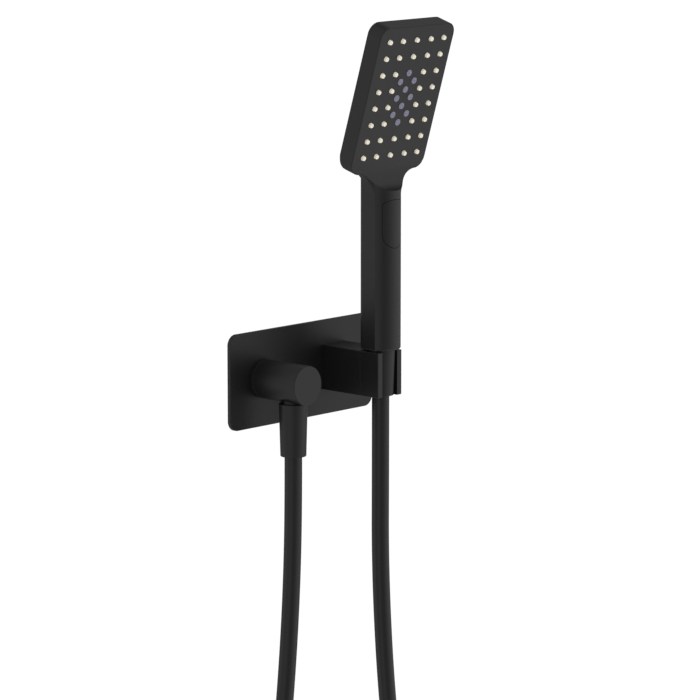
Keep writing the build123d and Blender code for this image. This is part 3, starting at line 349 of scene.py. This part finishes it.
# ------------------------------------------------------------------ stage
class SHOWER_OT_stage(bpy.types.Operator):
    """Camera, plain pale floor and soft studio light"""

    bl_idname = "shower.stage"
    bl_label = "Stage"

    def execute(self, context):
        self.add_camera(context)
        self.add_world(context)
        self.add_floor(context)
        context.scene.view_settings.view_transform = "Standard"
        return {"FINISHED"}

    def add_camera(self, context):
        stage = settings("stage")
        camera = bpy.data.cameras.new("camera")
        camera.lens = stage.lens
        camera.sensor_width = 36.0
        camera.clip_end = 200.0
        holder = bpy.data.objects.new("camera", camera)
        context.scene.collection.objects.link(holder)
        flat = cos(stage.elevation)
        back = Vector((sin(stage.azimuth) * flat, -cos(stage.azimuth) * flat, sin(stage.elevation)))
        holder.location = Vector(stage.aim) + back * stage.distance
        holder.rotation_mode = "QUATERNION"
        holder.rotation_quaternion = (-back).to_track_quat("-Z", "Y")
        context.scene.camera = holder

    def add_world(self, context):
        """White all round, with a few darker stretches so that round parts show their form."""
        world = bpy.data.worlds.new("studio")
        context.scene.world = world
        world.use_nodes = True
        nodes, links = world.node_tree.nodes, world.node_tree.links
        nodes.clear()
        coordinates = nodes.new("ShaderNodeTexCoord")
        bearing = nodes.new("ShaderNodeTexGradient")
        bearing.gradient_type = "RADIAL"
        ramp = nodes.new("ShaderNodeValToRGB")
        stops = STUDIO_LEVELS
        elements = ramp.color_ramp.elements
        while len(elements) < len(stops):
            elements.new(0.5)
        for element, (place, level) in zip(elements, stops):
            element.position = place
            element.color = (level, level, level, 1.0)
        studio = nodes.new("ShaderNodeBackground")
        plain = nodes.new("ShaderNodeBackground")
        plain.inputs["Color"].default_value = (*settings("stage").backdrop, 1.0)
        path = nodes.new("ShaderNodeLightPath")
        mix = nodes.new("ShaderNodeMixShader")
        output = nodes.new("ShaderNodeOutputWorld")
        links.new(coordinates.outputs["Generated"], bearing.inputs["Vector"])
        links.new(bearing.outputs["Fac"], ramp.inputs["Fac"])
        links.new(ramp.outputs["Color"], studio.inputs["Color"])
        links.new(path.outputs["Is Glossy Ray"], mix.inputs["Fac"])
        links.new(plain.outputs["Background"], mix.inputs[1])
        links.new(studio.outputs["Background"], mix.inputs[2])
        links.new(mix.outputs["Shader"], output.inputs["Surface"])

    def add_floor(self, context):
        stage = settings("stage")
        half = stage.floor_size / 2
        height = CAD_BOX[0][2] - stage.floor_drop
        corners = np.array([(x * half, y * half, height) for x, y in ((-1, -1), (1, -1), (1, 1), (-1, 1))])
        floor = new_piece("floor", corners, np.array([[0, 1, 2, 3]]), smooth=False)
        material = bpy.data.materials.new("floor")
        material.use_nodes = True
        shader = material.node_tree.nodes["Principled BSDF"]
        shader.inputs["Base Color"].default_value = (0.0, 0.0, 0.0, 1.0)
        shader.inputs["Roughness"].default_value = 1.0
        shader.inputs["Emission Color"].default_value = (*stage.backdrop, 1.0)
        shader.inputs["Emission Strength"].default_value = 1.0
        floor.data.materials.append(material)
        floor.visible_glossy = False


# ------------------------------------------------------------------ finishes
def grain_group():
    """Surface grain: a slow mottle of colour and roughness, and a fine height for bump."""
    group = bpy.data.node_groups.new("surface grain", "ShaderNodeTree")
    face = group.interface
    for name, kind, value in (
        ("Color", "NodeSocketColor", (0.1, 0.1, 0.1, 1.0)),
        ("Mottle", "NodeSocketFloat", 0.1),
        ("Roughness", "NodeSocketFloat", 0.4),
        ("Spread", "NodeSocketFloat", 0.05),
        ("Scale", "NodeSocketFloat", 60.0),
        ("Fine Scale", "NodeSocketFloat", 2500.0),
    ):
        socket = face.new_socket(name, in_out="INPUT", socket_type=kind)
        socket.default_value = value
    for name in ("Color", "Roughness", "Height"):
        kind = "NodeSocketColor" if name == "Color" else "NodeSocketFloat"
        face.new_socket(name, in_out="OUTPUT", socket_type=kind)
    nodes, links = group.nodes, group.links
    source = nodes.new("NodeGroupInput")
    result = nodes.new("NodeGroupOutput")
    place = nodes.new("ShaderNodeTexCoord")
    slow = nodes.new("ShaderNodeTexNoise")
    slow.inputs["Detail"].default_value = 4.0
    fine = nodes.new("ShaderNodeTexNoise")
    fine.inputs["Detail"].default_value = 2.0
    links.new(place.outputs["Object"], slow.inputs["Vector"])
    links.new(place.outputs["Object"], fine.inputs["Vector"])
    links.new(source.outputs["Scale"], slow.inputs["Scale"])
    links.new(source.outputs["Fine Scale"], fine.inputs["Scale"])
    swing = nodes.new("ShaderNodeMath")
    swing.operation = "SUBTRACT"
    swing.inputs[1].default_value = 0.5
    links.new(slow.outputs["Fac"], swing.inputs[0])
    shade = nodes.new("ShaderNodeMath")
    shade.operation = "MULTIPLY_ADD"
    shade.inputs[2].default_value = 1.0
    links.new(swing.outputs[0], shade.inputs[0])
    links.new(source.outputs["Mottle"], shade.inputs[1])
    tint = nodes.new("ShaderNodeVectorMath")
    tint.operation = "SCALE"
    links.new(source.outputs["Color"], tint.inputs[0])
    links.new(shade.outputs[0], tint.inputs["Scale"])
    links.new(tint.outputs[0], result.inputs["Color"])
    rough = nodes.new("ShaderNodeMath")
    rough.operation = "MULTIPLY_ADD"
    links.new(swing.outputs[0], rough.inputs[0])
    links.new(source.outputs["Spread"], rough.inputs[1])
    links.new(source.outputs["Roughness"], rough.inputs[2])
    links.new(rough.outputs[0], result.inputs["Roughness"])
    links.new(fine.outputs["Fac"], result.inputs["Height"])
    return group


def finish_material(name, color, mottle, roughness, spread, scale, fine_scale, bump, metallic):
    """A Principled material whose colour, roughness and normal come from the grain group."""
    material = bpy.data.materials.new(name)
    material.use_nodes = True
    nodes, links = material.node_tree.nodes, material.node_tree.links
    shader = nodes["Principled BSDF"]
    grain = nodes.new("ShaderNodeGroup")
    grain.node_tree = bpy.data.node_groups["surface grain"]
    grain.inputs["Color"].default_value = (*color, 1.0)
    grain.inputs["Mottle"].default_value = mottle
    grain.inputs["Roughness"].default_value = roughness
    grain.inputs["Spread"].default_value = spread
    grain.inputs["Scale"].default_value = scale
    grain.inputs["Fine Scale"].default_value = fine_scale
    relief = nodes.new("ShaderNodeBump")
    relief.inputs["Strength"].default_value = 1.0
    relief.inputs["Distance"].default_value = bump
    links.new(grain.outputs["Color"], shader.inputs["Base Color"])
    links.new(grain.outputs["Roughness"], shader.inputs["Roughness"])
    links.new(grain.outputs["Height"], relief.inputs["Height"])
    links.new(relief.outputs["Normal"], shader.inputs["Normal"])
    shader.inputs["Metallic"].default_value = metallic
    return material


class SHOWER_OT_finishes(bpy.types.Operator):
    """Gives every part of the frame its finish"""

    bl_idname = "shower.finishes"
    bl_label = "Finishes"

    def execute(self, context):
        grain_group()
        finish = settings("finish")
        made = {}
        for slot, name, color, *grain in FINISHES:
            made[slot] = finish_material(name, getattr(finish, color), *grain)
        for part in frame["record"]["subparts"]:
            material_on(NODES[part["node"]], made[part["material_slot"]])
        return {"FINISHED"}


# ------------------------------------------------------------------ hose
def route_points(route, name):
    """The smooth line of a NURBS spline whose control points are the route, as points in order."""
    curve = bpy.data.curves.new(name, "CURVE")
    curve.dimensions = "3D"
    curve.resolution_u = 12
    spline = curve.splines.new("NURBS")
    spline.points.add(len(route) - 1)
    for point, place in zip(spline.points, route):
        point.co = (*place, 1.0)
    spline.order_u = 3
    spline.use_endpoint_u = True
    line = bpy.data.objects.new(name, curve)
    bpy.context.scene.collection.objects.link(line)
    mesh = bpy.data.meshes.new_from_object(line)
    points = np.zeros(len(mesh.vertices) * 3)
    mesh.vertices.foreach_get("co", points)
    bpy.data.objects.remove(line)
    bpy.data.meshes.remove(mesh)
    return points.reshape(-1, 3)


def tube_along(points, radii, sides):
    """A round tube along points: at each one a circle r (across cos a + up sin a), square to it."""
    ahead = np.gradient(points, axis=0)
    ahead[0], ahead[-1] = ahead[1], ahead[-2]
    ahead /= np.linalg.norm(ahead, axis=1)[:, None]
    across = np.cross(ahead, np.array([0.0, 1.0, 0.0]))
    across /= np.linalg.norm(across, axis=1)[:, None]
    up = np.cross(across, ahead)
    angle = np.linspace(0, 2 * pi, sides, endpoint=False)
    circle = np.cos(angle)[None, :, None] * across[:, None, :] + np.sin(angle)[None, :, None] * up[:, None, :]
    return (points[:, None, :] + radii[:, None, None] * circle).reshape(-1, 3)


class SHOWER_OT_hose(bpy.types.Operator):
    """The smooth hose that hangs in a loop from the outlet to the handset"""

    bl_idname = "shower.hose"
    bl_label = "Hose"

    def execute(self, context):
        hose = settings("hose")
        line = route_points(HOSE_ROUTE, "hose_line")
        radii = np.concatenate([[0.0], np.full(len(line), hose.radius), [0.0]])
        closed = np.concatenate([line[:1], line, line[-1:]])
        points = tube_along(closed, radii, hose.sides)
        piece = new_piece("hose_tube", points, grid_faces(len(closed), hose.sides))
        close_surface(piece)
        smooth_by_angle(piece, degrees=40)
        material_on(piece, bpy.data.materials["smooth hose skin"])
        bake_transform(piece)
        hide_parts("shower_hose")
        return {"FINISHED"}


# ------------------------------------------------------------------ spray face
def nozzle_spots():
    """Each nozzle's place across and up the face; the middle column stands open in the middle rows."""
    rows = np.arange(ROW_COUNT)
    across, row = np.meshgrid(COLUMNS, rows)
    keep = ~(np.isin(row, OPEN_ROWS) & (across == 0))
    return np.stack([across[keep], row[keep] * ROW_PITCH, np.zeros(keep.sum())], axis=-1)


class SHOWER_OT_nozzles(bpy.types.Operator):
    """Soft spray nozzles with rounded rims and jet holes, on the sheet that they are moulded with"""

    bl_idname = "shower.nozzles"
    bl_label = "Spray Nozzles"

    def execute(self, context):
        nozzle = settings("nozzle")
        base, tip, top = nozzle.base_radius, nozzle.tip_radius, nozzle.proud
        taper, height = NOZZLE_TAPER
        profile = np.array(
            [(0.0, -MAT_BACK), (base, -MAT_BACK), (base, 0.0), (base + taper * MM, height * MM)]
            + [(tip + out * MM, top + up * MM) for out, up in NOZZLE_RIM]
            + [(nozzle.bore + out * MM, top + up * MM) for out, up in NOZZLE_JET]
            + [(0.0, top + NOZZLE_JET_FLOOR * MM)]
        )
        shape = lathe(profile, NOZZLE_SIDES)
        points, faces = copies_at(shape, grid_faces(len(profile), NOZZLE_SIDES), nozzle_spots())
        sheet, sheet_faces = self.sheet()
        faces = np.concatenate([faces, sheet_faces + len(points)])
        piece = new_piece("spray_nozzles", on_face(np.concatenate([points, sheet])), faces)
        close_surface(piece)
        smooth_by_angle(piece, degrees=50)
        material_on(piece, bpy.data.materials["cream silicone"])
        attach(piece, "handset")
        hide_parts("nozzle_mat")
        return {"FINISHED"}

    def sheet(self):
        """The sheet behind the cover: a rounded rectangle |x/a|^n + |y/b|^n = 1, closed front and back."""
        low, high = SHEET_SPAN
        half_width, half_height = SHEET_HALF_WIDTH, (high - low) / 2
        angle = np.linspace(0, 2 * pi, SHEET_POINTS, endpoint=False)
        power = 2 / SHEET_SQUARENESS
        x = half_width * np.sign(np.cos(angle)) * np.abs(np.cos(angle)) ** power
        y = half_height * np.sign(np.sin(angle)) * np.abs(np.sin(angle)) ** power
        share = np.array([0.0, 1.0, 1.0, 0.0])
        depth = np.array([-SHEET_FRONT, -SHEET_FRONT, -MAT_BACK, -MAT_BACK])
        depths = np.repeat(depth[:, None], len(angle), axis=1)
        points = np.stack([share[:, None] * x, share[:, None] * y + (low + high) / 2, depths], axis=-1)
        return points.reshape(-1, 3), grid_faces(len(share), len(angle))


class SHOWER_OT_mist(bpy.types.Operator):
    """Hard inserts for the mist spray, each with a ring and a small hole in a shallow cup"""

    bl_idname = "shower.mist"
    bl_label = "Mist Inserts"

    def execute(self, context):
        radius = settings("nozzle").mist_radius
        profile = np.array(
            [(0.0, -MAT_BACK), (radius, -MAT_BACK)]
            + [(radius + out * MM, up * MM) for out, up in MIST_RIM]
            + [(out * MM, up * MM) for out, up in MIST_HOLE]
        )
        spots = np.array(MIST_SPOTS) * (MIST_STEP, ROW_PITCH)
        centres = np.column_stack([spots, np.zeros(len(spots))])
        points, faces = copies_at(lathe(profile, MIST_SIDES), grid_faces(len(profile), MIST_SIDES), centres)
        piece = new_piece("mist_inserts", on_face(points), faces)
        close_surface(piece)
        smooth_by_angle(piece, degrees=50)
        material_on(piece, bpy.data.materials["mist insert plastic"])
        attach(piece, "handset")
        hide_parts("mist_nozzles")
        return {"FINISHED"}


# ------------------------------------------------------------------ wall thread
class SHOWER_OT_nipple(bpy.types.Operator):
    """Brass nipple with its cut thread, its waterway and the hexagon that it is turned by"""

    bl_idname = "shower.nipple"
    bl_label = "Inlet Nipple"

    def execute(self, context):
        low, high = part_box("inlet_nipple")
        start, end = low[1], high[1]
        major = (high[0] - low[0]) / 2
        outer = np.concatenate([np.linspace(end, THREAD_END, THREAD_STEPS), np.array([THREAD_END, start])])
        radius = np.where(outer > THREAD_END, major, NIPPLE_ROOT_R)
        radius[THREAD_STEPS - 1] = major
        entry = np.clip((end - outer) / THREAD_ENTRY, 0, 1)
        outside = np.column_stack([radius - (1 - entry) * THREAD_DEPTH, outer])
        inside = np.array([
            (NIPPLE_BORE_R, start), (NIPPLE_BORE_R, end - HEX_DEPTH), (HEX_R, end - HEX_DEPTH), (HEX_R, end),
        ])
        profile = np.concatenate([outside, inside])
        points = lathe(profile, NIPPLE_SIDES, self.relief)
        turned = np.column_stack([points[:, 0] + OUTLET_AXIS[0], points[:, 2], -points[:, 1]])
        faces = grid_faces(len(profile), NIPPLE_SIDES, close_rows=True)
        piece = new_piece("threaded_nipple", turned, faces)
        close_surface(piece)
        smooth_by_angle(piece, degrees=30)
        material_on(piece, bpy.data.materials["turned brass"])
        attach(piece, "root")
        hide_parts("inlet_nipple")
        return {"FINISHED"}

    def relief(self, profile, angle):
        """The thread sinks by a triangle wave of height / pitch + turns; the socket is a hexagon."""
        radius, height = profile[:, :1], profile[:, 1:]
        turn = height / THREAD_PITCH + angle[None, :] / (2 * pi)
        wave = np.abs(2 * (turn % 1.0) - 1)
        threaded = (height > THREAD_END + THREAD_PITCH / 2) & (radius > NIPPLE_ROOT_R)
        fade = np.clip((height - THREAD_END) / THREAD_PITCH, 0, 1)
        cut = np.where(threaded, -THREAD_DEPTH * wave * fade, 0.0)
        corner = (angle[None, :] + pi / 6) % (pi / 3) - pi / 6
        hexagon = HEX_R * cos(pi / 6) / np.cos(corner) - HEX_R
        return cut + np.where(np.isclose(radius, HEX_R), hexagon, 0.0)


# ------------------------------------------------------------------ springs
class SHOWER_OT_springs(bpy.types.Operator):
    """Coil springs copied from the frame, each in stainless steel and carried by the body that it sits in"""

    bl_idname = "shower.springs"
    bl_label = "Springs"

    def execute(self, context):
        for name, node, body, joint, axis, fixed in SPRINGS:
            mesh = NODES[node].data.copy()
            mesh.transform(NODES[node].matrix_world)
            piece = bpy.data.objects.new(name, mesh)
            context.scene.collection.objects.link(piece)
            material_on(piece, bpy.data.materials["stainless steel"])
            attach(piece, body)
            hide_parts(node)
            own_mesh(piece)
        return {"FINISHED"}


# ------------------------------------------------------------------ panel and start
class SHOWER_PT_panel(bpy.types.Panel):
    """Lists the set's steps"""

    bl_label = "Hand Shower Set"
    bl_idname = "SHOWER_PT_panel"
    bl_space_type = "VIEW_3D"
    bl_region_type = "UI"
    bl_category = "Shower"

    def draw(self, context):
        for operator in OPERATORS:
            self.layout.operator(operator.bl_idname)


SETTINGS = {"stage": StageSettings, "finish": FinishSettings, "hose": HoseSettings, "nozzle": NozzleSettings}
OPERATORS = (
    SHOWER_OT_stage, SHOWER_OT_finishes, SHOWER_OT_hose, SHOWER_OT_nozzles, SHOWER_OT_mist, SHOWER_OT_nipple,
    SHOWER_OT_springs,
)


def register():
    for group in SETTINGS.values():
        bpy.utils.register_class(group)
    for name, group in SETTINGS.items():
        setattr(bpy.types.Scene, "shower_" + name, PointerProperty(type=group))
    for operator in OPERATORS:
        bpy.utils.register_class(operator)
    bpy.utils.register_class(SHOWER_PT_panel)


def unregister():
    bpy.utils.unregister_class(SHOWER_PT_panel)
    for operator in reversed(OPERATORS):
        bpy.utils.unregister_class(operator)
    for name in SETTINGS:
        delattr(bpy.types.Scene, "shower_" + name)
    for group in SETTINGS.values():
        bpy.utils.unregister_class(group)


def main():
    register()
    bpy.ops.shower.stage()
    bpy.ops.shower.finishes()
    bpy.ops.shower.hose()
    bpy.ops.shower.nozzles()
    bpy.ops.shower.mist()
    bpy.ops.shower.nipple()
    bpy.ops.shower.springs()


if __name__ == "__main__":
    main()
